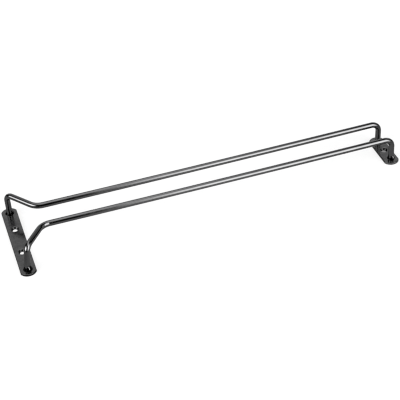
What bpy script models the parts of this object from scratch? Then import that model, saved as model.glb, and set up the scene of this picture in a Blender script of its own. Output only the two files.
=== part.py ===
"""Single-channel hanging rack for stemmed glasses, modelled upside down, standing on its two screw plates.

In use it is turned over and the plates' flat faces are screwed under a shelf. A glass goes in at the
front, between the two flared wires: its stem runs in the slot between the rails and its foot rides on
them. The origin is on the mounting faces, midway along and across the rack. +X runs along the rails to
the rear plate, +Y across them to the far rail, +Z from the mounting faces to the rails. Metres.
"""

import math

import bmesh
import bpy
from mathutils import Vector

# Whole rack
overall_length = 0.4064

# Rails, on the wire's centre line
wire_diameter = 0.006
rail_spacing = 0.0304
rail_height = 0.0264
rail_bow = 0.00055

# Front legs and the flare from them to the rails
front_leg_spacing = 0.0904
flare_reach = 0.0237
near_leg_lean_back = 0.0033
near_leg_lean_in = 0.0033
near_leg_rise = 0.0008

# Bends, radii on the wire's centre line
leg_bend_radius = 0.0072
flare_bend_radius = 0.0146
rear_bend_radius = 0.0084
leg_set_radius = 0.01

# Plates, cut from one flat bar, each a little longer than the spacing of the wire ends that it carries
plate_width = 0.0156
plate_thickness = 0.0024
plate_end_rise = 0.005
plate_edge_radius = 0.0005
front_plate_overhang = 0.0083
rear_plate_overhang = 0.0091

# Screw holes, countersunk on the side that the screws go in
screw_hole_diameter = 0.0048
countersink_diameter = 0.008
countersink_angle = math.radians(90)
front_screw_spacing = 0.0364

# Welds, a collar round each wire end, which sits in a shallow seat in its plate
seat_depth = 0.0008
collar_diameter = 0.0094
collar_height = 0.0021
collar_edge_height = 0.0005
collar_crest_width = 0.0003

# Fits and cuts
fit_gap = 0.0003
cut_overrun = 0.002

# Fineness of the round forms, as counts
wire_bevel_resolution = 10
segments_per_right_angle = 10
rail_segments = 10
plate_end_segments = 16
plate_edge_resolution = 2
hole_segments = 40
collar_segments = 40
collar_profile_segments = 6

wire_radius = wire_diameter / 2
front_plate_length = front_leg_spacing + 2 * front_plate_overhang
rear_plate_length = rail_spacing + 2 * rear_plate_overhang
front_x = (plate_width - overall_length) / 2
rear_x = (overall_length - plate_width) / 2
wire_end_z = plate_thickness - seat_depth + fit_gap
collar_base_z = plate_thickness + fit_gap


def clear_scene():
    for old_object in list(bpy.data.objects):
        bpy.data.objects.remove(old_object, do_unlink=True)


def new_collection(name):
    collection = bpy.data.collections.new(name)
    bpy.context.scene.collection.children.link(collection)
    return collection


def plated_steel(name, colour, roughness):
    """Dark bright-plated steel, as one Principled BSDF."""
    material = bpy.data.materials.new(name)
    material.use_nodes = True
    shader = material.node_tree.nodes["Principled BSDF"]
    shader.inputs["Base Color"].default_value = (*colour, 1)
    shader.inputs["Metallic"].default_value = 1
    shader.inputs["Roughness"].default_value = roughness
    material.diffuse_color = (*colour, 1)
    return material


def wire_plating(name):
    return plated_steel(name, (0.17, 0.17, 0.175), 0.12)


def plate_plating(name):
    return plated_steel(name, (0.11, 0.11, 0.115), 0.2)


def weld_plating(name):
    return plated_steel(name, (0.06, 0.06, 0.06), 0.35)


def mesh_from_curve(curve_object, collection):
    """Replaces a curve object with a closed mesh object of the same name and place."""
    bpy.context.view_layer.update()
    evaluated = curve_object.evaluated_get(bpy.context.evaluated_depsgraph_get())
    mesh = bpy.data.meshes.new_from_object(evaluated)
    name = curve_object.name
    matrix = curve_object.matrix_world.copy()
    bpy.data.objects.remove(curve_object, do_unlink=True)
    body = bmesh.new()
    body.from_mesh(mesh)
    bmesh.ops.remove_doubles(body, verts=body.verts, dist=fit_gap / 100)
    bmesh.ops.recalc_face_normals(body, faces=body.faces)
    body.to_mesh(mesh)
    body.free()
    mesh_object = bpy.data.objects.new(name, mesh)
    mesh_object.matrix_world = matrix
    collection.objects.link(mesh_object)
    return mesh_object


def smooth(mesh_object, sharp_angle=math.radians(35)):
    mesh_object.data.shade_smooth()
    mesh_object.data.set_sharp_from_angle(angle=sharp_angle)


def turned(name, profile, segments, collection):
    """A form turned about Z from a (radius, height) profile, which runs down its outer side.

    A profile that starts and ends on the axis makes a solid, and any other is closed into a ring.
    """
    mesh = bpy.data.meshes.new(name)
    points = [(radius, 0, height) for radius, height in profile]
    edges = [(index, index + 1) for index in range(len(points) - 1)]
    if points[0][0] > 0:
        edges.append((len(points) - 1, 0))
    mesh.from_pydata(points, edges, [])
    ring = bpy.data.objects.new(name, mesh)
    collection.objects.link(ring)
    screw = ring.modifiers.new("Turn", "SCREW")
    screw.axis = "Z"
    screw.angle = math.tau
    screw.steps = segments
    screw.render_steps = segments
    screw.use_merge_vertices = True
    screw.merge_threshold = fit_gap / 100
    screw.use_smooth_shade = True
    return ring


def bend(before, corner, after, radius):
    """Points of the arc that rounds one corner of a bent wire, or the corner itself where the wire runs on."""
    back = (before - corner).normalized()
    ahead = (after - corner).normalized()
    turn = math.pi - back.angle(ahead)
    if turn < math.radians(0.1):
        return [corner]
    tangent_length = radius * math.tan(turn / 2)
    start = corner + back * tangent_length
    centre = corner + (back + ahead).normalized() * radius / math.cos(turn / 2)
    steps = max(2, round(segments_per_right_angle * turn / math.radians(90)))
    arc = []
    for step in range(steps + 1):
        angle = turn * step / steps
        arc.append(centre + (start - centre) * math.cos(angle) - back * radius * math.sin(angle))
    return arc


def bowed_run(start, end, bow):
    """Points strictly between two rail ends, on a shallow parabola that dips by the bow at its middle."""
    points = []
    for step in range(1, rail_segments):
        share = step / rail_segments
        point = start.lerp(end, share)
        point.z -= bow * 4 * share * (1 - share)
        points.append(point)
    return points


def rail_path(side, lean_back, lean_in, rise):
    """Centre line of one bent wire from its front foot to its rear foot. side is -1 for near, 1 for far."""
    front_y = side * front_leg_spacing / 2
    rail_y = side * rail_spacing / 2
    leg_set_z = collar_base_z + collar_height + leg_set_radius / 2
    front_foot = Vector((front_x, front_y, wire_end_z))
    leg_set = Vector((front_x, front_y, leg_set_z))
    leg_top = Vector((front_x + lean_back, front_y - side * lean_in, rail_height + rise))
    rail_start = Vector((front_x + flare_reach, rail_y, rail_height))
    rail_end = Vector((rear_x, rail_y, rail_height))
    rear_foot = Vector((rear_x, rail_y, wire_end_z))
    set_bend = bend(front_foot, leg_set, leg_top, leg_set_radius)
    top_bend = bend(leg_set, leg_top, rail_start, leg_bend_radius)
    flare_bend = bend(leg_top, rail_start, rail_end, flare_bend_radius)
    rear_bend = bend(rail_start, rail_end, rear_foot, rear_bend_radius)
    rail = bowed_run(flare_bend[-1], rear_bend[0], rail_bow)
    return [front_foot, *set_bend, *top_bend, *flare_bend, *rail, *rear_bend, rear_foot]


def bent_wire(name, path, collection):
    curve = bpy.data.curves.new(name, "CURVE")
    curve.dimensions = "3D"
    curve.twist_mode = "MINIMUM"
    curve.bevel_depth = wire_radius
    curve.bevel_resolution = wire_bevel_resolution
    curve.use_fill_caps = True
    spline = curve.splines.new("POLY")
    spline.points.add(len(path) - 1)
    for spline_point, place in zip(spline.points, path):
        spline_point.co = (*place, 1)
    wire = bpy.data.objects.new(name, curve)
    collection.objects.link(wire)
    wire = mesh_from_curve(wire, collection)
    smooth(wire)
    return wire


def near_rail(collection):
    path = rail_path(-1, near_leg_lean_back, near_leg_lean_in, near_leg_rise)
    wire = bent_wire("near_rail", path, collection)
    wire.data.materials.append(wire_plating("near_rail_plating"))


def far_rail(collection):
    path = rail_path(1, 0, 0, 0)
    wire = bent_wire("far_rail", path, collection)
    wire.data.materials.append(wire_plating("far_rail_plating"))


def plate_outline(length):
    """Outline of a plate that lies along Y: two straight sides and two shallow arcs over the ends."""
    half_width = plate_width / 2
    end_radius = (half_width**2 + plate_end_rise**2) / (2 * plate_end_rise)
    end_centre_y = length / 2 - end_radius
    half_angle = math.asin(half_width / end_radius)
    far_end = []
    for step in range(plate_end_segments + 1):
        angle = half_angle * (1 - 2 * step / plate_end_segments)
        far_end.append((end_radius * math.sin(angle), end_centre_y + end_radius * math.cos(angle)))
    near_end = [(-x, -y) for x, y in far_end]
    return far_end + near_end


def blank_plate(name, length, centre_x, collection):
    """A bar with rounded ends and softly rounded edges, before its holes are cut."""
    curve = bpy.data.curves.new(name, "CURVE")
    curve.dimensions = "2D"
    curve.fill_mode = "BOTH"
    curve.offset = -plate_edge_radius
    curve.extrude = plate_thickness / 2 - plate_edge_radius
    curve.bevel_depth = plate_edge_radius
    curve.bevel_resolution = plate_edge_resolution
    outline = plate_outline(length)
    spline = curve.splines.new("POLY")
    spline.points.add(len(outline) - 1)
    spline.use_cyclic_u = True
    for spline_point, (x, y) in zip(spline.points, outline):
        spline_point.co = (x, y, 0, 1)
    plate = bpy.data.objects.new(name, curve)
    plate.location = (centre_x, 0, plate_thickness / 2)
    collection.objects.link(plate)
    return mesh_from_curve(plate, collection)


def screw_hole_cutter(name, x, y, cutters):
    """A screw's clearance hole with its countersink, turned about the hole's axis."""
    hole_radius = screw_hole_diameter / 2
    mouth_radius = countersink_diameter / 2
    sink_depth = (mouth_radius - hole_radius) / math.tan(countersink_angle / 2)
    top = plate_thickness + cut_overrun
    profile = [
        (0, top),
        (mouth_radius, top),
        (mouth_radius, plate_thickness),
        (hole_radius, plate_thickness - sink_depth),
        (hole_radius, -cut_overrun),
        (0, -cut_overrun),
    ]
    cutter = turned(name, profile, hole_segments, cutters)
    cutter.location = (x, y, 0)
    return cutter


def wire_seat_cutter(name, x, y, cutters):
    """The shallow round seat that a wire end sits in."""
    seat_radius = wire_radius + fit_gap
    top = plate_thickness + cut_overrun
    floor = plate_thickness - seat_depth
    profile = [(0, top), (seat_radius, top), (seat_radius, floor), (0, floor)]
    cutter = turned(name, profile, hole_segments, cutters)
    cutter.location = (x, y, 0)
    return cutter


def cut(plate, cutter):
    cutter.hide_render = True
    cutter.display_type = "WIRE"
    boolean = plate.modifiers.new("Cut " + cutter.name, "BOOLEAN")
    boolean.operation = "DIFFERENCE"
    boolean.solver = "EXACT"
    boolean.object = cutter


def front_plate(collection, cutters):
    plate = blank_plate("front_plate", front_plate_length, front_x, collection)
    plate.data.materials.append(plate_plating("front_plate_plating"))
    for side, place in ((-1, "near"), (1, "far")):
        hole_y = side * front_screw_spacing / 2
        seat_y = side * front_leg_spacing / 2
        cut(plate, screw_hole_cutter("front_screw_cutter_" + place, front_x, hole_y, cutters))
        cut(plate, wire_seat_cutter("front_seat_cutter_" + place, front_x, seat_y, cutters))
    smooth(plate)


def rear_plate(collection, cutters):
    plate = blank_plate("rear_plate", rear_plate_length, rear_x, collection)
    plate.data.materials.append(plate_plating("rear_plate_plating"))
    cut(plate, screw_hole_cutter("rear_screw_cutter", rear_x, 0, cutters))
    for side, place in ((-1, "near"), (1, "far")):
        seat_y = side * rail_spacing / 2
        cut(plate, wire_seat_cutter("rear_seat_cutter_" + place, rear_x, seat_y, cutters))
    smooth(plate)


def collar_profile():
    """Section of a weld collar: a hollow fillet from the wire down to the plate."""
    bore_radius = wire_radius + fit_gap
    outer_radius = collar_diameter / 2
    crest_radius = bore_radius + collar_crest_width
    fillet_width = outer_radius - crest_radius
    fillet_height = collar_height - collar_edge_height
    profile = [(bore_radius, collar_height)]
    for step in range(collar_profile_segments + 1):
        angle = math.radians(90) * step / collar_profile_segments
        radius = outer_radius - fillet_width * math.cos(angle)
        height = collar_height - fillet_height * math.sin(angle)
        profile.append((radius, height))
    profile.append((outer_radius, 0))
    profile.append((bore_radius, 0))
    return profile


def weld_collar(name, x, y, collection):
    collar = turned(name, collar_profile(), collar_segments, collection)
    collar.location = (x, y, collar_base_z)
    collar.data.materials.append(weld_plating(name + "_plating"))


def weld_collars(collection):
    for side, place in ((-1, "near"), (1, "far")):
        weld_collar(place + "_front_weld", front_x, side * front_leg_spacing / 2, collection)
        weld_collar(place + "_rear_weld", rear_x, side * rail_spacing / 2, collection)


def build():
    clear_scene()
    rack = new_collection("hanging_glass_rack")
    cutters = new_collection("cutters")
    front_plate(rack, cutters)
    rear_plate(rack, cutters)
    near_rail(rack)
    far_rail(rack)
    weld_collars(rack)


build()
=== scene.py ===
"""Looks of the hanging glass rack: two bent wires and two screw plates in dark bright plating.

The rack stands upside down on its plates, as photographed, on a pale studio floor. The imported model
gives the frame: origin on the mounting faces, +X along the rails to the rear plate, +Y across them to
the far wire, +Z from the mounting faces to the rails. Lengths are metres unless a name says otherwise.
"""

import logging
import math
from dataclasses import dataclass, replace
from enum import Enum

import bmesh
import bpy
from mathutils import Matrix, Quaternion, Vector, noise


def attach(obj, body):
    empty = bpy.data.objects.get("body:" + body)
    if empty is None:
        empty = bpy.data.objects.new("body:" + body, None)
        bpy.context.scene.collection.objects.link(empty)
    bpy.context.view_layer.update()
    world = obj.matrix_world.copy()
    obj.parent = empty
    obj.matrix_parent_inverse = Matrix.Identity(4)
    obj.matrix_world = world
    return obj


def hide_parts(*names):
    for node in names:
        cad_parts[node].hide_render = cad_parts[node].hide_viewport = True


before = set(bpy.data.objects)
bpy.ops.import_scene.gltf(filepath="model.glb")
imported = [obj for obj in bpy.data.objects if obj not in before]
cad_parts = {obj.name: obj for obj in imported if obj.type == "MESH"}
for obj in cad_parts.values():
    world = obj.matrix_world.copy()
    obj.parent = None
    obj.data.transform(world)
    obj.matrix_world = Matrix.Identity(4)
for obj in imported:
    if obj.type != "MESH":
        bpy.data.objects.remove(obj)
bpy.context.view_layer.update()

logging.basicConfig(level=logging.INFO, format="%(message)s")
log = logging.getLogger("glass_rack")

Socket = bpy.types.NodeSocket
SAME_PLACE = 0.000002
NOISE_MIDDLE = (0.3, 0.7)
PLACE_ATTRIBUTE = "wire_place"
SHEEN_ATTRIBUTE = "painted_sheen"


# Choices


class Side(Enum):
    """Which of the two mirrored wires a piece belongs to."""

    NEAR = -1
    FAR = 1


class RackEnd(Enum):
    """Which plate a piece belongs to."""

    FRONT = "front"
    REAR = "rear"


class Lay(Enum):
    """What a finish takes its places from: the piece's own space, or the places stored along a wire."""

    SOLID = "solid"
    ALONG_WIRE = "along_wire"


# Helpers for meshes


def link_mesh(name: str, body: bmesh.types.BMesh) -> bpy.types.Object:
    """Turns a bmesh into a smooth-shaded object of the scene.

    Args:
        name: name of the object and its mesh.
        body: the closed mesh, which is freed.

    Returns:
        The new object.
    """
    bmesh.ops.recalc_face_normals(body, faces=body.faces)
    mesh = bpy.data.meshes.new(name)
    body.to_mesh(mesh)
    body.free()
    mesh.shade_smooth()
    piece = bpy.data.objects.new(name, mesh)
    bpy.context.scene.collection.objects.link(piece)
    return piece


def join_rings(body: bmesh.types.BMesh, rings: list[list[bmesh.types.BMVert]]) -> None:
    """Lays faces between neighbouring rings, which all have the same number of points."""
    for lower, upper in zip(rings, rings[1:]):
        for step in range(len(lower)):
            after = (step + 1) % len(lower)
            body.faces.new((lower[step], lower[after], upper[after], upper[step]))


def lathe(name: str, profile: list[tuple[float, float]], segments: int) -> bpy.types.Object:
    """Turns a profile that starts and ends on the axis into a solid about Z.

    Args:
        name: name of the new object.
        profile: (radius, height) points from the top of the axis round to its bottom.
        segments: how many steps make the full turn.

    Returns:
        The new object.
    """
    body = bmesh.new()
    top = body.verts.new((0, 0, profile[0][1]))
    bottom = body.verts.new((0, 0, profile[-1][1]))
    rings = []
    for radius, height in profile[1:-1]:
        ring = []
        for step in range(segments):
            angle = math.tau * step / segments
            ring.append(body.verts.new((radius * math.cos(angle), radius * math.sin(angle), height)))
        rings.append(ring)
    for step in range(segments):
        after = (step + 1) % segments
        body.faces.new((top, rings[0][step], rings[0][after]))
        body.faces.new((bottom, rings[-1][after], rings[-1][step]))
    join_rings(body, rings)
    return link_mesh(name, body)


def round_corner(
    before: Vector, corner: Vector, after: Vector, radius: float, fineness: int
) -> list[Vector]:
    """Points of the arc that rounds one corner of a line.

    Args:
        before: a point on the line before the corner.
        corner: the sharp corner.
        after: a point on the line after the corner.
        radius: radius of the arc.
        fineness: steps in a right angle.

    Returns:
        The arc's points in order, or the corner alone where the line runs straight on.
    """
    back = (before - corner).normalized()
    ahead = (after - corner).normalized()
    turn = math.pi - back.angle(ahead)
    if turn < math.radians(0.1):
        return [corner]
    start = corner + back * radius * math.tan(turn / 2)
    centre = corner + (back + ahead).normalized() * radius / math.cos(turn / 2)
    steps = max(3, round(fineness * turn / math.radians(90)))
    points = []
    for step in range(steps + 1):
        angle = turn * step / steps
        points.append(centre + (start - centre) * math.cos(angle) - back * radius * math.sin(angle))
    return points


# Helpers for node trees


class NodeSheet:
    """A node tree being filled, with short ways to add nodes and join them."""

    def __init__(self, tree: bpy.types.NodeTree) -> None:
        """Takes the tree and keeps its nodes."""
        self.tree = tree

    def add(self, kind: str, **inputs: object) -> bpy.types.Node:
        """Adds a node.

        Args:
            kind: Blender's name of the node type.
            inputs: values or output sockets, by input name with spaces as underscores. A name that
                starts with set_ is a setting of the node itself.

        Returns:
            The node.
        """
        node = self.tree.nodes.new(kind)
        for name, value in inputs.items():
            if name.startswith("set_"):
                setattr(node, name[4:], value)
        for name, value in inputs.items():
            if not name.startswith("set_"):
                self.feed(node.inputs[name.replace("_", " ")], value)
        return node

    def feed(self, socket: Socket, value: object) -> None:
        """Links an output to an input socket, or sets the input to a plain value."""
        if isinstance(value, Socket):
            self.tree.links.new(value, socket)
        else:
            socket.default_value = value

    def math(self, operation: str, *values: object) -> Socket:
        """Adds a Math node on up to three values and returns its output."""
        node = self.tree.nodes.new("ShaderNodeMath")
        node.operation = operation
        for socket, value in zip(node.inputs, values):
            self.feed(socket, value)
        return node.outputs[0]

    def product(self, first: object, *others: object) -> Socket:
        """Multiplies a value by each of the others and returns the result's socket."""
        for other in others:
            first = self.math("MULTIPLY", first, other)
        return first

    def vector_math(self, operation: str, *values: object) -> bpy.types.Node:
        """Adds a Vector Math node on up to three values and returns the node."""
        node = self.tree.nodes.new("ShaderNodeVectorMath")
        node.operation = operation
        for socket, value in zip(node.inputs, values):
            self.feed(socket, value)
        return node

    def ramp(
        self, value: object, low: object, high: object, to_low: object = 0.0, to_high: object = 1.0
    ) -> Socket:
        """Adds a smooth step from one range to another.

        Args:
            value: what is mapped.
            low: where the step starts.
            high: where it ends.
            to_low: result at the start.
            to_high: result at the end.

        Returns:
            The result's socket.
        """
        node = self.add("ShaderNodeMapRange", set_interpolation_type="SMOOTHSTEP", Value=value)
        self.feed(node.inputs["From Min"], low)
        self.feed(node.inputs["From Max"], high)
        self.feed(node.inputs["To Min"], to_low)
        self.feed(node.inputs["To Max"], to_high)
        return node.outputs["Result"]

    def fade_in(self, value: object, edge: float, feather: float) -> Socket:
        """Adds a soft edge: 0 below it and 1 above, with the feather on either side of it."""
        return self.ramp(value, edge - feather, edge + feather)

    def fade_out(self, value: object, edge: float, feather: float) -> Socket:
        """Adds a soft edge: 1 below it and 0 above, with the feather on either side of it."""
        return self.ramp(value, edge - feather, edge + feather, 1.0, 0.0)

    def mix(self, kind: str, share: object, first: object, second: object) -> Socket:
        """Adds a Mix node for "RGBA" or "FLOAT" and returns its result: the second at a share of 1."""
        node = self.add("ShaderNodeMix", set_data_type=kind, Factor=share, A=first, B=second)
        return node.outputs["Result"]

    def noise(self, places: object, scale: object, detail: float) -> Socket:
        """Adds a noise texture and returns its value."""
        node = self.add("ShaderNodeTexNoise", Vector=places, Scale=scale, Detail=detail)
        return node.outputs["Fac"]


class EffectGroup:
    """A shader node group that several finishes use, built once."""

    name = "effect"
    takes: tuple[tuple[str, str, object], ...] = ()
    gives: tuple[tuple[str, str], ...] = ()

    @classmethod
    def tree(cls) -> bpy.types.NodeTree:
        """Returns the group's tree, building it on first use."""
        found = bpy.data.node_groups.get(cls.name)
        if found:
            return found
        tree = bpy.data.node_groups.new(cls.name, "ShaderNodeTree")
        for name, kind, value in cls.takes:
            socket = tree.interface.new_socket(name=name, in_out="INPUT", socket_type=kind)
            if value is not None:
                socket.default_value = value
        for name, kind in cls.gives:
            tree.interface.new_socket(name=name, in_out="OUTPUT", socket_type=kind)
        sheet = NodeSheet(tree)
        given = tree.nodes.new("NodeGroupInput")
        result = tree.nodes.new("NodeGroupOutput")
        cls.fill(sheet, given.outputs, result.inputs)
        return tree

    @classmethod
    def fill(cls, sheet: NodeSheet, given: bpy.types.NodeInputs, result: bpy.types.NodeInputs) -> None:
        """Lays the group's nodes between its inputs and outputs."""
        raise NotImplementedError

    @classmethod
    def place(cls, sheet: NodeSheet, **inputs: object) -> bpy.types.Node:
        """Puts the group into a material with its own values."""
        return sheet.add("ShaderNodeGroup", set_node_tree=cls.tree(), **inputs)


class PlatingShade(EffectGroup):
    """Slow shade changes of bright plating, painted shade on its cut faces, and the paler skin of wear and
    painted sheen.
    """

    name = "plating_shade"
    takes = (
        ("Places", "NodeSocketVector", None),
        ("Scale", "NodeSocketFloat", 90.0),
        ("Dark", "NodeSocketColor", (0.1, 0.1, 0.1, 1)),
        ("Pale", "NodeSocketColor", (0.12, 0.12, 0.12, 1)),
        ("Worn", "NodeSocketColor", (0.2, 0.2, 0.2, 1)),
        ("Wear", "NodeSocketFloat", 0.0),
        ("Cut", "NodeSocketColor", (0.02, 0.02, 0.02, 1)),
        ("Cutting", "NodeSocketFloat", 0.0),
    )
    gives = (("Colour", "NodeSocketColor"),)

    @classmethod
    def fill(cls, sheet: NodeSheet, given: bpy.types.NodeInputs, result: bpy.types.NodeInputs) -> None:
        """Mixes dark and pale by noise, then towards the painted cut-face shade and the wear-and-sheen
        shade by their masks.
        """
        cloud = sheet.ramp(sheet.noise(given["Places"], given["Scale"], 3.0), *NOISE_MIDDLE)
        shade = sheet.mix("RGBA", cloud, given["Dark"], given["Pale"])
        cut = sheet.mix("RGBA", given["Cutting"], shade, given["Cut"])
        sheet.feed(result["Colour"], sheet.mix("RGBA", given["Wear"], cut, given["Worn"]))


class EdgeWearAndSheen(EffectGroup):
    """Wear of the plating on outer edges, broken up by noise, and the places of painted sheen marked on the
    mesh.
    """

    name = "edge_wear_and_sheen"
    edge_band = (0.53, 0.62)
    break_scale = 700.0
    break_band = (0.35, 0.65)
    takes = (("Places", "NodeSocketVector", None), ("Amount", "NodeSocketFloat", 1.0))
    gives = (("Mask", "NodeSocketFloat"),)

    @classmethod
    def fill(cls, sheet: NodeSheet, given: bpy.types.NodeInputs, result: bpy.types.NodeInputs) -> None:
        """Takes sharp outer edges from the mesh's pointiness, breaks them up and adds the painted sheen
        marked on the mesh.
        """
        pointed = sheet.add("ShaderNodeNewGeometry").outputs["Pointiness"]
        edge = sheet.ramp(pointed, *cls.edge_band)
        broken = sheet.ramp(sheet.noise(given["Places"], cls.break_scale, 4.0), *cls.break_band)
        worn = sheet.product(edge, broken, given["Amount"])
        # painted sheen, marked on the mesh: the glint on the weld runs and the lit rim of the rear plate's
        # ends
        painted_sheen = sheet.add("ShaderNodeAttribute", set_attribute_name=SHEEN_ATTRIBUTE).outputs["Fac"]
        sheet.feed(result["Mask"], sheet.math("MAXIMUM", worn, painted_sheen))


class CutFaceShade(EffectGroup):
    """Painted shade on the sheared sides and drilled cones: faces that lean far from level are drawn
    darker.
    """

    name = "cut_face_shade"
    level_band = (0.7, 0.86)
    takes = (("Amount", "NodeSocketFloat", 1.0),)
    gives = (("Mask", "NodeSocketFloat"),)

    @classmethod
    def fill(cls, sheet: NodeSheet, given: bpy.types.NodeInputs, result: bpy.types.NodeInputs) -> None:
        """Picks the faces that lean far from level, in the piece's own space."""
        facing = sheet.add("ShaderNodeTexCoord").outputs["Normal"]
        level = sheet.math("ABSOLUTE", sheet.add("ShaderNodeSeparateXYZ", Vector=facing).outputs["Z"])
        lean = sheet.ramp(level, *cls.level_band, 1.0, 0.0)
        sheet.feed(result["Mask"], sheet.product(lean, given["Amount"]))


class DrawLines(EffectGroup):
    """Fine lines left along the metal by drawing, rolling or buffing before it was plated."""

    name = "draw_lines"
    scratch_shift = (7.3, 2.9, 4.1)
    scratch_scale = 0.45
    scratch_band = (0.66, 0.74)
    takes = (
        ("Places", "NodeSocketVector", None),
        ("Along", "NodeSocketFloat", 30.0),
        ("Across", "NodeSocketFloat", 1500.0),
    )
    gives = (("Lines", "NodeSocketFloat"), ("Scratches", "NodeSocketFloat"))

    @classmethod
    def fill(cls, sheet: NodeSheet, given: bpy.types.NodeInputs, result: bpy.types.NodeInputs) -> None:
        """Stretches noise along the first axis, and picks its rare peaks as scratches."""
        stretch = sheet.add("ShaderNodeCombineXYZ", X=given["Along"], Y=given["Across"], Z=given["Across"])
        places = sheet.vector_math("MULTIPLY", given["Places"], stretch.outputs["Vector"]).outputs["Vector"]
        lines = sheet.noise(places, 1.0, 3.0)
        shifted = sheet.vector_math("ADD", places, cls.scratch_shift).outputs["Vector"]
        rare = sheet.noise(shifted, cls.scratch_scale, 1.0)
        sheet.feed(result["Lines"], lines)
        sheet.feed(result["Scratches"], sheet.ramp(rare, *cls.scratch_band))


class SurfaceHaze(EffectGroup):
    """Roughness of bright plating: a clear base with hazy clouds, fine specks and scratches."""

    name = "surface_haze"
    cloud_band = (0.35, 0.75)
    speck_scale = 1400.0
    speck_band = (0.02, 0.14)
    sparse_scale = 420.0
    sparse_band = (0.55, 0.7)
    mark_roughness = 0.1
    takes = (
        ("Places", "NodeSocketVector", None),
        ("Scale", "NodeSocketFloat", 160.0),
        ("Clear", "NodeSocketFloat", 0.08),
        ("Hazy", "NodeSocketFloat", 0.16),
        ("Scratches", "NodeSocketFloat", 0.0),
    )
    gives = (("Roughness", "NodeSocketFloat"), ("Specks", "NodeSocketFloat"))

    @classmethod
    def fill(cls, sheet: NodeSheet, given: bpy.types.NodeInputs, result: bpy.types.NodeInputs) -> None:
        """Blends the two roughnesses by clouds, then adds specks and scratches."""
        cloud = sheet.noise(given["Places"], given["Scale"], 4.0)
        base = sheet.ramp(cloud, *cls.cloud_band, given["Clear"], given["Hazy"])
        cells = sheet.add("ShaderNodeTexVoronoi", Vector=given["Places"], Scale=cls.speck_scale)
        specks = sheet.ramp(cells.outputs["Distance"], *cls.speck_band, 1.0, 0.0)
        sparse = sheet.ramp(sheet.noise(given["Places"], cls.sparse_scale, 1.0), *cls.sparse_band)
        specks = sheet.product(specks, sparse)
        marks = sheet.math("MAXIMUM", specks, given["Scratches"])
        sheet.feed(result["Roughness"], sheet.math("MULTIPLY_ADD", marks, cls.mark_roughness, base))
        sheet.feed(result["Specks"], specks)


# Finishes


@dataclass(frozen=True)
class Plating:
    """Dark bright plating over steel, like black nickel.

    Shades are reflectances: dark and pale for its clouds, worn on worn edges and on the
    places of painted sheen, cut on sheared and drilled faces as painted shade. Glancing is the share
    of a plain metal's shine that is left near the outline. Scales are in cycles per metre of the noise,
    heights in metres.
    """

    dark: tuple[float, float, float] = (0.079, 0.079, 0.08)
    pale: tuple[float, float, float] = (0.091, 0.091, 0.092)
    # shade of worn edges, and of the painted sheen marked on the mesh
    worn: tuple[float, float, float] = (0.19, 0.19, 0.19)
    # cut: painted shade of faces that lean far from level
    cut: tuple[float, float, float] = (0.015, 0.015, 0.015)
    cut_shade_amount: float = 0.0
    glancing: float = 0.73
    clear: float = 0.045
    hazy: float = 0.085
    cloud_scale: float = 70.0
    haze_scale: float = 150.0
    wear_amount: float = 0.6
    line_along: float = 25.0
    line_across: float = 1500.0
    line_height: float = 0.0000026
    wave_scale: float = 60.0
    wave_height: float = 0.00002
    speck_height: float = 0.000008
    lay: Lay = Lay.SOLID

    def build(self, name: str) -> bpy.types.Material:
        """Makes the material.

        Args:
            name: name of the material.

        Returns:
            The material.
        """
        material = bpy.data.materials.new(name)
        material.use_nodes = True
        sheet = NodeSheet(material.node_tree)
        shader = material.node_tree.nodes["Principled BSDF"]
        shader.inputs["Metallic"].default_value = 1.0
        shader.inputs["Specular Tint"].default_value = (self.glancing, self.glancing, self.glancing, 1)
        places = self.places(sheet)
        # edge wear together with the painted sheen; then the painted shade of faces that lean far from
        # level
        wear_and_sheen_mask = EdgeWearAndSheen.place(sheet, Places=places, Amount=self.wear_amount)
        cut = CutFaceShade.place(sheet, Amount=self.cut_shade_amount)
        shade = PlatingShade.place(
            sheet,
            Places=places,
            Scale=self.cloud_scale,
            Dark=(*self.dark, 1),
            Pale=(*self.pale, 1),
            Worn=(*self.worn, 1),
            Wear=wear_and_sheen_mask.outputs["Mask"],
            Cut=(*self.cut, 1),
            Cutting=cut.outputs["Mask"],
        )
        lines = DrawLines.place(sheet, Places=places, Along=self.line_along, Across=self.line_across)
        haze = SurfaceHaze.place(
            sheet,
            Places=places,
            Scale=self.haze_scale,
            Clear=self.clear,
            Hazy=self.hazy,
            Scratches=lines.outputs["Scratches"],
        )
        sheet.feed(shader.inputs["Base Color"], shade.outputs["Colour"])
        sheet.feed(shader.inputs["Roughness"], haze.outputs["Roughness"])
        height = sheet.product(sheet.noise(places, self.wave_scale, 1.0), self.wave_height)
        height = sheet.math("MULTIPLY_ADD", lines.outputs["Lines"], self.line_height, height)
        height = sheet.math("MULTIPLY_ADD", haze.outputs["Specks"], self.speck_height, height)
        bump = sheet.add("ShaderNodeBump", Strength=1.0, Distance=1.0, Height=height)
        sheet.feed(shader.inputs["Normal"], bump.outputs["Normal"])
        material.diffuse_color = (*self.pale, 1)
        return material

    def places(self, sheet: NodeSheet) -> Socket:
        """Returns the places that the finish's textures are laid by."""
        if self.lay is Lay.ALONG_WIRE:
            stored = sheet.add("ShaderNodeAttribute", set_attribute_name=PLACE_ATTRIBUTE)
            return stored.outputs["Vector"]
        return sheet.add("ShaderNodeTexCoord").outputs["Object"]


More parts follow.
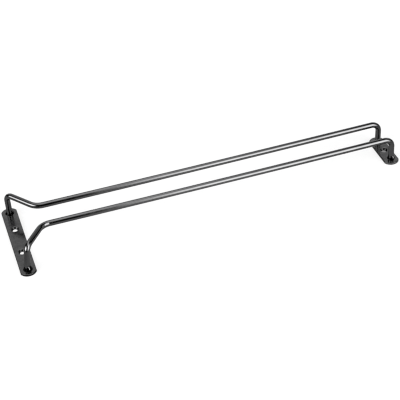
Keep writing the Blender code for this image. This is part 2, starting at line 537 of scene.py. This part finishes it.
WIRE_PLATING = Plating(lay=Lay.ALONG_WIRE)
PLATE_PLATING = Plating(
    dark=(0.075, 0.075, 0.076),
    pale=(0.1, 0.1, 0.101),
    cloud_scale=260.0,
    # painted shade on the sheared sides and the drilled cones
    cut_shade_amount=0.95,
    wear_amount=0.3,
    clear=0.15,
    hazy=0.25,
    line_along=1300.0,
    line_across=35.0,
    line_height=0.0000015,
    wave_scale=45.0,
)
WELD_PLATING = Plating(
    dark=(0.0005, 0.0005, 0.0005),
    pale=(0.003, 0.003, 0.003),
    # the painted glint along the beads' runs; this finish has no edge wear
    worn=(0.18, 0.18, 0.18),
    wear_amount=0.0,
    clear=0.05,
    hazy=0.1,
    cloud_scale=500.0,
    haze_scale=600.0,
    wave_scale=900.0,
    wave_height=0.000018,
    line_height=0.0,
)


# The rack's pieces


@dataclass
class BentWire:
    """One round wire, bent from its front foot over the flare and along the rail to its rear foot.

    The first fields set how far this wire is off the plain shape: the lean and rise of its front leg,
    and how far the rail's front end lies lower and further in.
    """

    side: Side
    lean_back: float = 0.0
    lean_in: float = 0.0
    rise: float = 0.0
    front_drop: float = 0.0
    front_in: float = 0.0
    radius: float = 0.003
    front_x: float = -0.1954
    rear_x: float = 0.1954
    front_y: float = 0.0452
    rail_y: float = 0.0152
    rail_z: float = 0.0264
    rail_bow: float = 0.00055
    flare_reach: float = 0.0237
    end_z: float = 0.0022
    leg_set_z: float = 0.0098
    leg_set_radius: float = 0.01
    leg_bend_radius: float = 0.0072
    flare_bend_radius: float = 0.0146
    rear_bend_radius: float = 0.0084
    bend_fineness: int = 28
    rail_steps: int = 40
    ring_steps: int = 56
    smooth_reach: int = 3
    flattening: float = 0.1
    least_bend: float = 0.01
    full_bend: float = 0.5
    sharp_angle: float = math.radians(50)

    @property
    def name(self) -> str:
        """Name of the CAD node that the wire stands for."""
        return self.side.name.lower() + "_rail"

    def rail_run(self, start: Vector, end: Vector) -> list[Vector]:
        """Returns the points strictly between two rail ends, on the shallow sag of the long wire."""
        points = []
        for step in range(1, self.rail_steps):
            share = step / self.rail_steps
            point = start.lerp(end, share)
            point.z -= self.rail_bow * 4 * share * (1 - share)
            points.append(point)
        return points

    def centre_line(self) -> list[Vector]:
        """Bends the wire's centre line.

        Returns:
            Its points from the front foot to the rear foot.
        """
        sign = self.side.value
        front_y = sign * self.front_y
        rail_y = sign * self.rail_y
        front_foot = Vector((self.front_x, front_y, self.end_z))
        leg_set = Vector((self.front_x, front_y, self.leg_set_z))
        top_y = front_y - sign * self.lean_in
        leg_top = Vector((self.front_x + self.lean_back, top_y, self.rail_z + self.rise))
        start_y = rail_y - sign * self.front_in
        rail_start = Vector((self.front_x + self.flare_reach, start_y, self.rail_z - self.front_drop))
        rail_end = Vector((self.rear_x, rail_y, self.rail_z))
        rear_foot = Vector((self.rear_x, rail_y, self.end_z))
        fine = self.bend_fineness
        foot_set = round_corner(front_foot, leg_set, leg_top, self.leg_set_radius, fine)
        leg_bend = round_corner(leg_set, leg_top, rail_start, self.leg_bend_radius, fine)
        flare_bend = round_corner(leg_top, rail_start, rail_end, self.flare_bend_radius, fine)
        rear_bend = round_corner(rail_start, rail_end, rear_foot, self.rear_bend_radius, fine)
        rail = self.rail_run(flare_bend[-1], rear_bend[0])
        return [front_foot, *foot_set, *leg_bend, *flare_bend, *rail, *rear_bend, rear_foot]

    def build(self) -> bpy.types.Object:
        """Sweeps the round section along the centre line, flattened a little where the wire is bent.

        Returns:
            The wire, with each point's place along and round it stored for the finish.
        """
        line = self.centre_line()
        last = len(line) - 1
        tangents = []
        for index in range(last + 1):
            tangents.append((line[min(index + 1, last)] - line[max(index - 1, 0)]).normalized())
        curving = self.curving(line, tangents)
        body = bmesh.new()
        stored = body.verts.layers.float_vector.new(PLACE_ATTRIBUTE)
        across = tangents[0].orthogonal().normalized()
        along = 0.0
        rings = []
        for index, (place, tangent) in enumerate(zip(line, tangents)):
            if index:
                across = tangents[index - 1].rotation_difference(tangent) @ across
                along += (place - line[index - 1]).length
            across = (across - tangent * across.dot(tangent)).normalized()
            up = tangent.cross(across)
            ring = []
            for step in range(self.ring_steps):
                angle = math.tau * step / self.ring_steps
                aside = self.radius * math.cos(angle)
                above = self.radius * math.sin(angle)
                vert = body.verts.new(place + self.flattened(across * aside + up * above, curving[index]))
                vert[stored] = Vector((along, aside, above))
                ring.append(vert)
            rings.append(ring)
        join_rings(body, rings)
        body.faces.new(rings[0])
        body.faces.new(rings[-1])
        piece = link_mesh(self.name + "_wire", body)
        piece.data.set_sharp_from_angle(angle=self.sharp_angle)
        return piece

    def curving(self, line: list[Vector], tangents: list[Vector]) -> list[Vector]:
        """Finds how the wire curves at each point of its centre line.

        Args:
            line: the centre line.
            tangents: its direction at each point.

        Returns:
            For each point a vector towards the inside of the bend, as long as the wire's radius over the
            bend's radius.
        """
        raw = [Vector((0, 0, 0))]
        for index in range(1, len(line) - 1):
            behind = line[index] - line[index - 1]
            ahead = line[index + 1] - line[index]
            turn = ahead.normalized() - behind.normalized()
            raw.append(turn * (2 * self.radius / (ahead + behind).length))
        raw.append(Vector((0, 0, 0)))
        smooth = []
        for index in range(len(raw)):
            window = raw[max(0, index - self.smooth_reach) : index + self.smooth_reach + 1]
            smooth.append(sum(window, Vector((0, 0, 0))) / len(window))
        return smooth

    def flattened(self, offset: Vector, curve: Vector) -> Vector:
        """Presses a point of the section in along the curve and lets it out beside it.

        Args:
            offset: the point, from the centre line.
            curve: how the wire curves there.

        Returns:
            The point's new offset.
        """
        bend = curve.length
        if bend < self.least_bend:
            return offset
        way = curve.normalized()
        inward = way * offset.dot(way)
        sideways = offset - inward
        squeeze = self.flattening * min(bend, self.full_bend)
        return inward * (1 - squeeze) + sideways * (1 + squeeze / 3)

    def dress(self, piece: bpy.types.Object) -> None:
        """Gives the wire its finish and ties it to the CAD."""
        piece.data.materials.append(WIRE_PLATING.build(self.name + "_plating"))
        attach(piece, "root")
        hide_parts(self.name)


@dataclass
class ScrewPlate:
    """A flat bar with shallow rounded ends, soft edges and countersunk screw holes."""

    end: RackEnd
    length: float
    centre_x: float
    hole_places: tuple[float, ...]
    width: float = 0.0156
    thickness: float = 0.0024
    end_rise: float = 0.005
    edge_radius: float = 0.0005
    edge_steps: int = 5
    end_steps: int = 40
    hole_radius: float = 0.0024
    mouth_radius: float = 0.004
    lip_radius: float = 0.0009
    lip_steps: int = 6
    sink_angle: float = math.radians(41)
    hole_steps: int = 96
    overrun: float = 0.002
    # painted sheen: a brighter shade round the rim of both ends
    end_sheen: float = 0.0
    sharp_angle: float = math.radians(32)

    @property
    def name(self) -> str:
        """Name of the CAD node that the plate stands for."""
        return self.end.value + "_plate"

    def outline(self) -> list[tuple[float, float]]:
        """Draws the plate's outline about its own middle.

        Returns:
            The points of two shallow arcs, with the straight sides left between them.
        """
        half = self.width / 2
        end_radius = (half**2 + self.end_rise**2) / (2 * self.end_rise)
        half_angle = math.asin(half / end_radius)
        centre_y = self.length / 2 - end_radius
        far = []
        for step in range(self.end_steps + 1):
            angle = half_angle * (1 - 2 * step / self.end_steps)
            far.append((end_radius * math.sin(angle), centre_y + end_radius * math.cos(angle)))
        return far + [(-x, -y) for x, y in far]

    def blank(self) -> bpy.types.Object:
        """Makes the bar with rounded edges, before its holes.

        Returns:
            The bar.
        """
        curve = bpy.data.curves.new(self.name + "_outline", "CURVE")
        curve.dimensions = "2D"
        curve.fill_mode = "BOTH"
        curve.offset = -self.edge_radius
        curve.extrude = self.thickness / 2 - self.edge_radius
        curve.bevel_depth = self.edge_radius
        curve.bevel_resolution = self.edge_steps
        points = self.outline()
        spline = curve.splines.new("POLY")
        spline.points.add(len(points) - 1)
        spline.use_cyclic_u = True
        for point, (x, y) in zip(spline.points, points):
            point.co = (x, y, 0, 1)
        holder = bpy.data.objects.new(self.name + "_outline", curve)
        bpy.context.scene.collection.objects.link(holder)
        bpy.context.view_layer.update()
        evaluated = holder.evaluated_get(bpy.context.evaluated_depsgraph_get())
        body = bmesh.new()
        body.from_mesh(bpy.data.meshes.new_from_object(evaluated))
        bpy.data.objects.remove(holder, do_unlink=True)
        bmesh.ops.remove_doubles(body, verts=body.verts, dist=SAME_PLACE)
        bmesh.ops.translate(body, verts=body.verts, vec=(self.centre_x, 0, self.thickness / 2))
        return link_mesh(self.name + "_bar", body)

    def hole_profile(self) -> list[tuple[float, float]]:
        """Draws the shape that a screw hole removes, with a rolled lip where its cone meets the face.

        Returns:
            Its profile as (radius, height) points, from the top down.
        """
        top = self.thickness
        slope = math.tan(self.sink_angle)
        lip = []
        lip_centre_x = self.mouth_radius + self.lip_radius * math.tan(self.sink_angle / 2)
        for step in range(self.lip_steps + 1):
            angle = self.sink_angle * step / self.lip_steps
            x = lip_centre_x - self.lip_radius * math.sin(angle)
            z = top - self.lip_radius * (1 - math.cos(angle))
            lip.append((x, z))
        cone_foot = lip[-1][1] - (lip[-1][0] - self.hole_radius) / slope
        profile = [(0, top + self.overrun), (lip_centre_x, top + self.overrun), *lip]
        profile += [(self.hole_radius, cone_foot), (self.hole_radius, -self.overrun), (0, -self.overrun)]
        return profile

    def build(self) -> bpy.types.Object:
        """Cuts the screw holes, marks the painted sheen round the ends and keeps the flat faces flat in
        shading.

        Returns:
            The plate.
        """
        piece = self.blank()
        cutters = []
        for index, place_y in enumerate(self.hole_places):
            cutter = lathe(f"{self.name}_cutter_{index}", self.hole_profile(), self.hole_steps)
            cutter.location = (self.centre_x, place_y, 0)
            cut = piece.modifiers.new("Hole", "BOOLEAN")
            cut.operation = "DIFFERENCE"
            cut.solver = "EXACT"
            cut.object = cutter
            cutters.append(cutter)
        bpy.context.view_layer.update()
        evaluated = piece.evaluated_get(bpy.context.evaluated_depsgraph_get())
        mesh = bpy.data.meshes.new_from_object(evaluated)
        piece.modifiers.clear()
        piece.data = mesh
        for cutter in cutters:
            bpy.data.objects.remove(cutter, do_unlink=True)
        self.paint_end_sheen(mesh)
        mesh.shade_smooth()
        mesh.set_sharp_from_angle(angle=self.sharp_angle)
        flat = piece.modifiers.new("Flat faces", "WEIGHTED_NORMAL")
        flat.keep_sharp = True
        flat.weight = 100
        return piece

    def paint_end_sheen(self, mesh: bpy.types.Mesh) -> None:
        """Marks the painted sheen, a brighter shade, round the rim of the plate's two ends."""
        painted_sheen = mesh.attributes.new(SHEEN_ATTRIBUTE, "FLOAT", "POINT")
        straight = self.length / 2 - self.end_rise
        for vertex, mark in zip(mesh.vertices, painted_sheen.data):
            place = vertex.co
            if abs(place.y) > straight and place.z < self.thickness - self.edge_radius / 2:
                mark.value = self.end_sheen

    def dress(self, piece: bpy.types.Object) -> None:
        """Gives the plate its finish and ties it to the CAD."""
        piece.data.materials.clear()
        piece.data.materials.append(PLATE_PLATING.build(self.name + "_plating"))
        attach(piece, "root")
        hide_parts(self.name)


@dataclass
class WeldBead:
    """The ring of weld metal round one wire's end, with a thin run drawn up the wire that carries a painted
    glint.
    """

    side: Side
    end: RackEnd
    centre_x: float
    centre_y: float
    seed: int
    run_heading: float = math.radians(-75)
    run_rise: float = 0.0
    # painted glint: how much brighter shade is laid along the run's upper ridge
    run_sheen: float = 0.1
    run_swell: float = 0.0005
    run_half_width: float = math.radians(26)
    foot_z: float = 0.0023
    rise: float = 0.0018
    inner_radius: float = 0.0026
    outer_radius: float = 0.0047
    crest_radius: float = 0.00305
    belly: float = 0.2
    lumps: int = 9
    lump_share: float = 0.05
    lump_wander: float = 2.5
    wander_scale: float = 0.8
    drift_share: float = 0.1
    drift_scale: float = 1.1
    inner_share: float = 0.97
    round_steps: int = 96
    profile_steps: int = 16
    sharp_angle: float = math.radians(60)

    @property
    def name(self) -> str:
        """Name of the CAD node that the bead stands for."""
        return f"{self.side.name.lower()}_{self.end.value}_weld"

    def swell(self, angle: float, seed_shift: float) -> float:
        """Finds how far the bead swells by slow drift and short ripples.

        Args:
            angle: the place round the wire.
            seed_shift: sets two measures of one bead apart.

        Returns:
            The swell, about 1.
        """
        around = Vector((math.cos(angle), math.sin(angle), 0))
        drift = noise.noise(around * self.drift_scale + Vector((self.seed, seed_shift, 0)))
        wander = noise.noise(around * self.wander_scale + Vector((0, self.seed, seed_shift)))
        phase = self.lumps * angle + self.lump_wander * wander
        ripple = abs(math.sin(phase / 2)) - 0.5
        return 1 + drift * self.drift_share + ripple * self.lump_share

    def run_share(self, angle: float) -> float:
        """Returns how much of the run is met at an angle, from 0 to 1."""
        swing = (angle - self.run_heading + math.pi) % math.tau - math.pi
        if abs(swing) >= self.run_half_width:
            return 0.0
        return math.cos(math.radians(90) * swing / self.run_half_width) ** 2

    def build(self) -> bpy.types.Object:
        """Turns the fillet's section round the wire, with its reach and height changing on the way.

        Returns:
            The bead.
        """
        body = bmesh.new()
        painted_sheen = body.verts.layers.float.new(SHEEN_ATTRIBUTE)
        rings = []
        for step in range(self.round_steps):
            angle = math.tau * step / self.round_steps
            reach = (self.outer_radius - self.crest_radius) * self.swell(angle, 0.0)
            run = self.run_share(angle)
            height = self.rise * self.swell(angle, 5.0) + self.run_rise * run
            section = [(self.inner_radius, 0.0), (self.inner_radius, height * self.inner_share)]
            for share_step in range(self.profile_steps + 1):
                turn = math.radians(90) * share_step / self.profile_steps
                bulge = math.sin(2 * turn)
                belly = self.belly * bulge
                radius = self.crest_radius + reach * (1 - math.cos(turn) + belly)
                radius += self.run_swell * run * bulge
                section.append((radius, height * (1 - math.sin(turn) + belly)))
            ring = []
            for radius, rise in section:
                x = self.centre_x + radius * math.cos(angle)
                y = self.centre_y + radius * math.sin(angle)
                vert = body.verts.new((x, y, self.foot_z + rise))
                # painted glint along the upper part of the run
                vert[painted_sheen] = self.run_sheen * run**3 * min(1.0, max(0.0, 2 * rise / self.rise - 1))
                ring.append(vert)
            rings.append(ring)
        join_rings(body, [*rings, rings[0]])
        piece = link_mesh(self.name + "_bead", body)
        piece.data.set_sharp_from_angle(angle=self.sharp_angle)
        return piece

    def dress(self, piece: bpy.types.Object) -> None:
        """Gives the bead its finish and ties it to the CAD."""
        piece.data.materials.append(WELD_PLATING.build(self.name + "_plating"))
        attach(piece, "root")
        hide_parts(self.name)


# The studio


@dataclass(frozen=True)
class LightPatch:
    """A soft-edged patch of the room that shines, by direction from the rack, in degrees.

    Azimuth is 0 towards the camera's side (-Y) and 90 towards +X. Lean is how far the patch has moved in
    azimuth at an elevation of 45 degrees, as the sides of a panel that is set up askew do.
    """

    azimuth: float
    elevation: float
    half_width: float
    half_height: float
    feather_width: float
    feather_height: float
    strength: float
    lean: float = 0.0


@dataclass(frozen=True)
class CeilingPanel:
    """A soft-edged panel overhead, by its places on a ceiling one unit above the rack.

    It reaches from left to right along X and from front to back along Y. Its right edge runs slantwise:
    it lies at right plus slant times y. A feather is half the width of a soft edge.
    """

    left: float
    left_feather: float
    right: float
    right_feather: float
    slant: float
    front: float
    front_feather: float
    back: float
    back_feather: float
    strength: float


@dataclass(frozen=True)
class PaintedShadowSpot:
    """A painted shadow: a small round place on the floor drawn dim, with a soft rim and some light left."""

    x: float
    y: float
    radius: float
    fade: float
    share: float


@dataclass
class Studio:
    """The pale floor and the soft light round it.

    The floor is a board lit from above, with a painted glow that only the camera sees, so the rack's
    shadow on it stays faint. The painted glow is a little less round the rear plate, and little is left in
    the painted shadow spots. In the plating's mirror the board is a painted pool of light that fades
    with distance from the rack.
    """

    floor_half_size: float = 4.0
    floor_drop: float = 0.00004
    floor_shade: float = 0.36
    # painted glow of the board, seen only by the camera, with a smaller share towards the rear
    painted_floor_glow: float = 1.35
    floor_glow_share: float = 0.55
    glow_fade_start: float = 0.1
    glow_fade_end: float = 0.19
    glow_far_share: float = 0.52
    # painted shadows: under the rear plate's hole and just behind that plate
    painted_shadow_spots: tuple[PaintedShadowSpot, ...] = (
        PaintedShadowSpot(x=0.1954, y=0.0, radius=0.0035, fade=0.003, share=0.26),
        PaintedShadowSpot(x=0.2045, y=0.0102, radius=0.0006, fade=0.003, share=0.3),
    )
    # the painted pool of light that the plating mirrors
    mirrored_shade: float = 0.6
    pool_length: float = 0.12
    pool_width: float = 0.138
    pool_start: float = -0.15
    pool_end: float = 2.6
    pool_rim: float = 0.42
    floor_roughness: float = 0.8
    grain_scale: float = 300.0
    grain_share: float = 0.01
    gloom: float = 0.008
    backdrop_strength: float = 1.0
    patches: tuple[LightPatch, ...] = (
        # the tall softbox at the front right, then its dim side
        LightPatch(30.3, 26.5, 20.7, 30.7, 3.8, 21.4, strength=8.9, lean=4.5),
        LightPatch(67, 23, 13, 24, 10, 10, strength=1.22),
        # the softbox at the left
        LightPatch(285, 28, 24, 16, 15, 6, strength=11.8),
        # the pale wall behind the rack, and the band at its foot
        LightPatch(161, 14, 49, 31, 12, 8, strength=1.01),
        LightPatch(156, 3, 33, 9, 12, 4, strength=1.4),
    )
    ceiling: CeilingPanel = CeilingPanel(
        left=-0.3, left_feather=0.35, right=0.24, right_feather=0.16, slant=0.13,
        front=-0.46, front_feather=0.25, back=0.83, back_feather=0.2, strength=2.69,
    )
    lowest_ceiling_rise: float = 0.02
    steepest_lean: float = math.radians(75)

    def build_floor(self) -> None:
        """Makes the plain floor, which is clear from below so that the rack's underside can be seen."""
        body = bmesh.new()
        bmesh.ops.create_grid(body, x_segments=8, y_segments=8, size=self.floor_half_size)
        bmesh.ops.translate(body, verts=body.verts, vec=(0, 0, -self.floor_drop))
        mesh = bpy.data.meshes.new("studio_floor")
        body.to_mesh(mesh)
        body.free()
        floor = bpy.data.objects.new("studio_floor", mesh)
        bpy.context.scene.collection.objects.link(floor)
        floor.data.materials.append(self.floor_material())

    def floor_material(self) -> bpy.types.Material:
        """Makes matt pale board with a faint grain, clear from its underside,
        with a painted glow, painted shadow spots and a painted pool of light.

        Returns:
            The material.
        """
        material = bpy.data.materials.new("studio_floor_board")
        material.use_nodes = True
        sheet = NodeSheet(material.node_tree)
        nodes = material.node_tree.nodes
        shader = nodes["Principled BSDF"]
        places = sheet.add("ShaderNodeTexCoord").outputs["Object"]
        seen = sheet.add("ShaderNodeLightPath").outputs["Is Camera Ray"]
        grain = sheet.noise(places, self.grain_scale, 3.0)
        grained = self.floor_shade * (1 - self.grain_share)
        plain = sheet.ramp(grain, *NOISE_MIDDLE, grained, self.floor_shade)
        # rays other than the camera's see the painted pool of light
        level = sheet.mix("FLOAT", seen, self.painted_light_pool(sheet, places), plain)
        along = sheet.add("ShaderNodeSeparateXYZ", Vector=places).outputs["X"]
        far = sheet.ramp(along, self.glow_fade_start, self.glow_fade_end)
        # painted shadow spots darken both the board and its painted glow
        painted_shadow_factor = 1.0
        for spot in self.painted_shadow_spots:
            from_spot = sheet.vector_math("DISTANCE", places, (spot.x, spot.y, 0)).outputs["Value"]
            lit_share = sheet.ramp(from_spot, spot.radius, spot.radius + spot.fade, spot.share, 1.0)
            painted_shadow_factor = sheet.product(painted_shadow_factor, lit_share)
        tone = sheet.product(level, painted_shadow_factor)
        shade = sheet.add("ShaderNodeCombineColor", Red=tone, Green=tone, Blue=tone)
        sheet.feed(shader.inputs["Base Color"], shade.outputs["Color"])
        shader.inputs["Roughness"].default_value = self.floor_roughness
        shader.inputs["Specular IOR Level"].default_value = 0.0
        # painted glow, mixed in for camera rays only, with a smaller share towards the rear
        painted_glow = sheet.add("ShaderNodeEmission", Strength=sheet.product(painted_shadow_factor, self.painted_floor_glow))
        lit = sheet.add("ShaderNodeMixShader")
        less = self.glow_far_share - self.floor_glow_share
        share = sheet.math("MULTIPLY_ADD", far, less, self.floor_glow_share)
        sheet.feed(lit.inputs[0], sheet.product(seen, share))
        sheet.feed(lit.inputs[1], shader.outputs["BSDF"])
        sheet.feed(lit.inputs[2], painted_glow.outputs["Emission"])
        clear = sheet.add("ShaderNodeBsdfTransparent")
        mixed = sheet.add("ShaderNodeMixShader")
        sheet.feed(mixed.inputs[0], sheet.add("ShaderNodeNewGeometry").outputs["Backfacing"])
        sheet.feed(mixed.inputs[1], lit.outputs["Shader"])
        sheet.feed(mixed.inputs[2], clear.outputs["BSDF"])
        sheet.feed(nodes["Material Output"].inputs["Surface"], mixed.outputs["Shader"])
        return material

    def painted_light_pool(self, sheet: NodeSheet, places: Socket) -> Socket:
        """Returns the painted pool of light that the plating mirrors: brightest by the rack, dim far off.
        """
        reach = (1 / self.pool_length, 1 / self.pool_width, 0)
        scaled = sheet.vector_math("MULTIPLY", places, reach).outputs["Vector"]
        distance = sheet.vector_math("LENGTH", scaled).outputs["Value"]
        rim = self.mirrored_shade * self.pool_rim
        return sheet.ramp(distance, self.pool_start, self.pool_end, self.mirrored_shade, rim)

    def ceiling_light(self, sheet: NodeSheet, parts: bpy.types.Node) -> Socket:
        """Lays out the overhead panel's light, with its four soft edges.

        Args:
            sheet: the world's nodes.
            parts: the direction's three parts.

        Returns:
            The light, as a value's socket.
        """
        panel = self.ceiling
        height = sheet.math("MAXIMUM", parts.outputs["Z"], self.lowest_ceiling_rise)
        x = sheet.math("DIVIDE", parts.outputs["X"], height)
        y = sheet.math("DIVIDE", parts.outputs["Y"], height)
        past = sheet.math("SUBTRACT", x, sheet.product(y, panel.slant))
        right = sheet.fade_out(past, panel.right, panel.right_feather)
        left = sheet.fade_in(x, panel.left, panel.left_feather)
        front = sheet.fade_in(y, panel.front, panel.front_feather)
        back = sheet.fade_out(y, panel.back, panel.back_feather)
        return sheet.product(right, left, front, back, panel.strength)

    def patch_light(
        self, sheet: NodeSheet, patch: LightPatch, heading: Socket, rise: Socket
    ) -> Socket:
        """Lays out one patch's light by direction.

        Args:
            sheet: the world's nodes.
            patch: the patch.
            heading: the direction's azimuth in radians.
            rise: the direction's elevation in radians.

        Returns:
            The light, as a value's socket.
        """
        slope = sheet.math("TANGENT", sheet.math("MINIMUM", rise, self.steepest_lean))
        middle = sheet.math("MULTIPLY_ADD", slope, math.radians(patch.lean), math.radians(patch.azimuth))
        swing = sheet.math("WRAP", sheet.math("SUBTRACT", heading, middle), math.pi, -math.pi)
        swing = sheet.math("ABSOLUTE", swing)
        lift = sheet.math("ABSOLUTE", sheet.math("SUBTRACT", rise, math.radians(patch.elevation)))
        wide = sheet.fade_out(swing, math.radians(patch.half_width), math.radians(patch.feather_width))
        tall = sheet.fade_out(lift, math.radians(patch.half_height), math.radians(patch.feather_height))
        return sheet.product(wide, tall, patch.strength)

    def build_light(self) -> None:
        """Makes the room's light: a dim room, soft patches, and a plain white backdrop for the camera."""
        world = bpy.data.worlds.new("studio_light")
        world.use_nodes = True
        bpy.context.scene.world = world
        sheet = NodeSheet(world.node_tree)
        background = world.node_tree.nodes["Background"]
        direction = sheet.add("ShaderNodeTexCoord").outputs["Generated"]
        parts = sheet.add("ShaderNodeSeparateXYZ", Vector=direction)
        away = sheet.product(parts.outputs["Y"], -1.0)
        heading = sheet.math("ARCTAN2", parts.outputs["X"], away)
        rise = sheet.math("ARCSINE", parts.outputs["Z"])
        light = sheet.math("ADD", self.ceiling_light(sheet, parts), self.gloom)
        for patch in self.patches:
            light = sheet.math("ADD", light, self.patch_light(sheet, patch, heading, rise))
        seen = sheet.add("ShaderNodeLightPath").outputs["Is Camera Ray"]
        background.inputs["Color"].default_value = (1, 1, 1, 1)
        shown = sheet.mix("FLOAT", seen, light, self.backdrop_strength)
        sheet.feed(background.inputs["Strength"], shown)


@dataclass
class PhotoCamera:
    """The camera, at the photograph's viewing angle."""

    place: tuple[float, float, float] = (-0.26808, -0.91281, 0.75297)
    azimuth: float = math.radians(-15.888)
    elevation: float = math.radians(38.557)
    roll: float = math.radians(-3.883)
    lens_mm: float = 107.556
    sensor_mm: float = 36.0
    clip_start: float = 0.01
    pixel_filter: float = 1.25

    def build(self) -> None:
        """Makes the camera and the scene's plain view settings."""
        data = bpy.data.cameras.new("photo_camera")
        data.sensor_width = self.sensor_mm
        data.lens = self.lens_mm
        data.clip_start = self.clip_start
        camera = bpy.data.objects.new("photo_camera", data)
        bpy.context.scene.collection.objects.link(camera)
        flat = math.cos(self.elevation)
        view_x = -math.sin(self.azimuth) * flat
        view_y = math.cos(self.azimuth) * flat
        level = Vector((view_x, view_y, -math.sin(self.elevation))).to_track_quat("-Z", "Y")
        camera.rotation_mode = "QUATERNION"
        camera.rotation_quaternion = level @ Quaternion((0, 0, 1), self.roll)
        camera.location = self.place
        bpy.context.scene.camera = camera
        bpy.context.scene.view_settings.view_transform = "Standard"
        bpy.context.scene.cycles.filter_width = self.pixel_filter


@dataclass
class GlassRack:
    """The whole rack: two wires, two plates and four weld beads."""

    near_wire: BentWire
    far_wire: BentWire
    front_plate: ScrewPlate
    rear_plate: ScrewPlate
    beads: tuple[WeldBead, ...]

    def build(self) -> None:
        """Builds, dresses and reports each piece."""
        for part in (self.near_wire, self.far_wire, self.front_plate, self.rear_plate, *self.beads):
            piece = part.build()
            part.dress(piece)
            log.info("%s: %d faces, stands for %s", piece.name, len(piece.data.polygons), part.name)


def weld_beads(wire: BentWire, front_seed: int, rear_seed: int) -> list[WeldBead]:
    """Sets out the weld rings at a wire's two feet. The near wire's have a run up the wire with a painted
    glint.

    Args:
        wire: the wire.
        front_seed: what the ripples of the front ring are drawn from.
        rear_seed: the same for the rear ring.

    Returns:
        The front ring and the rear ring.
    """
    side = wire.side
    front = WeldBead(side, RackEnd.FRONT, wire.front_x, side.value * wire.front_y, front_seed)
    rear = WeldBead(side, RackEnd.REAR, wire.rear_x, side.value * wire.rail_y, rear_seed)
    rear.outer_radius = 0.0041
    if side is Side.NEAR:
        front = replace(front, rise=0.0032, run_rise=0.0012, run_sheen=1.0)
        rear = replace(rear, run_rise=0.0022, run_sheen=1.0)
    return [front, rear]


def make_rack() -> GlassRack:
    """Sets out the rack's pieces: the CAD's sizes, and the small offsets that the photograph shows.

    Returns:
        The rack, ready to build.
    """
    near = BentWire(
        Side.NEAR, lean_back=0.0033, lean_in=0.0033, rise=0.0008, front_drop=0.0004, front_in=0.0005
    )
    near.rear_x = 0.1963
    far = BentWire(Side.FAR, front_in=0.0005, front_x=-0.1951)
    front_plate = ScrewPlate(
        RackEnd.FRONT, length=0.107, centre_x=BentWire.front_x, hole_places=(-0.0182, 0.0182)
    )
    rear_plate = ScrewPlate(
        RackEnd.REAR, length=0.0486, centre_x=BentWire.rear_x, hole_places=(0.0,), end_sheen=0.8
    )
    beads = (*weld_beads(near, 3, 7), *weld_beads(far, 13, 17))
    return GlassRack(near, far, front_plate, rear_plate, beads)


def main() -> None:
    """Builds the rack, the studio and the camera, in that order."""
    make_rack().build()
    studio = Studio()
    studio.build_floor()
    studio.build_light()
    PhotoCamera().build()
    log.info("studio and camera are set")


if __name__ == "__main__":
    main()
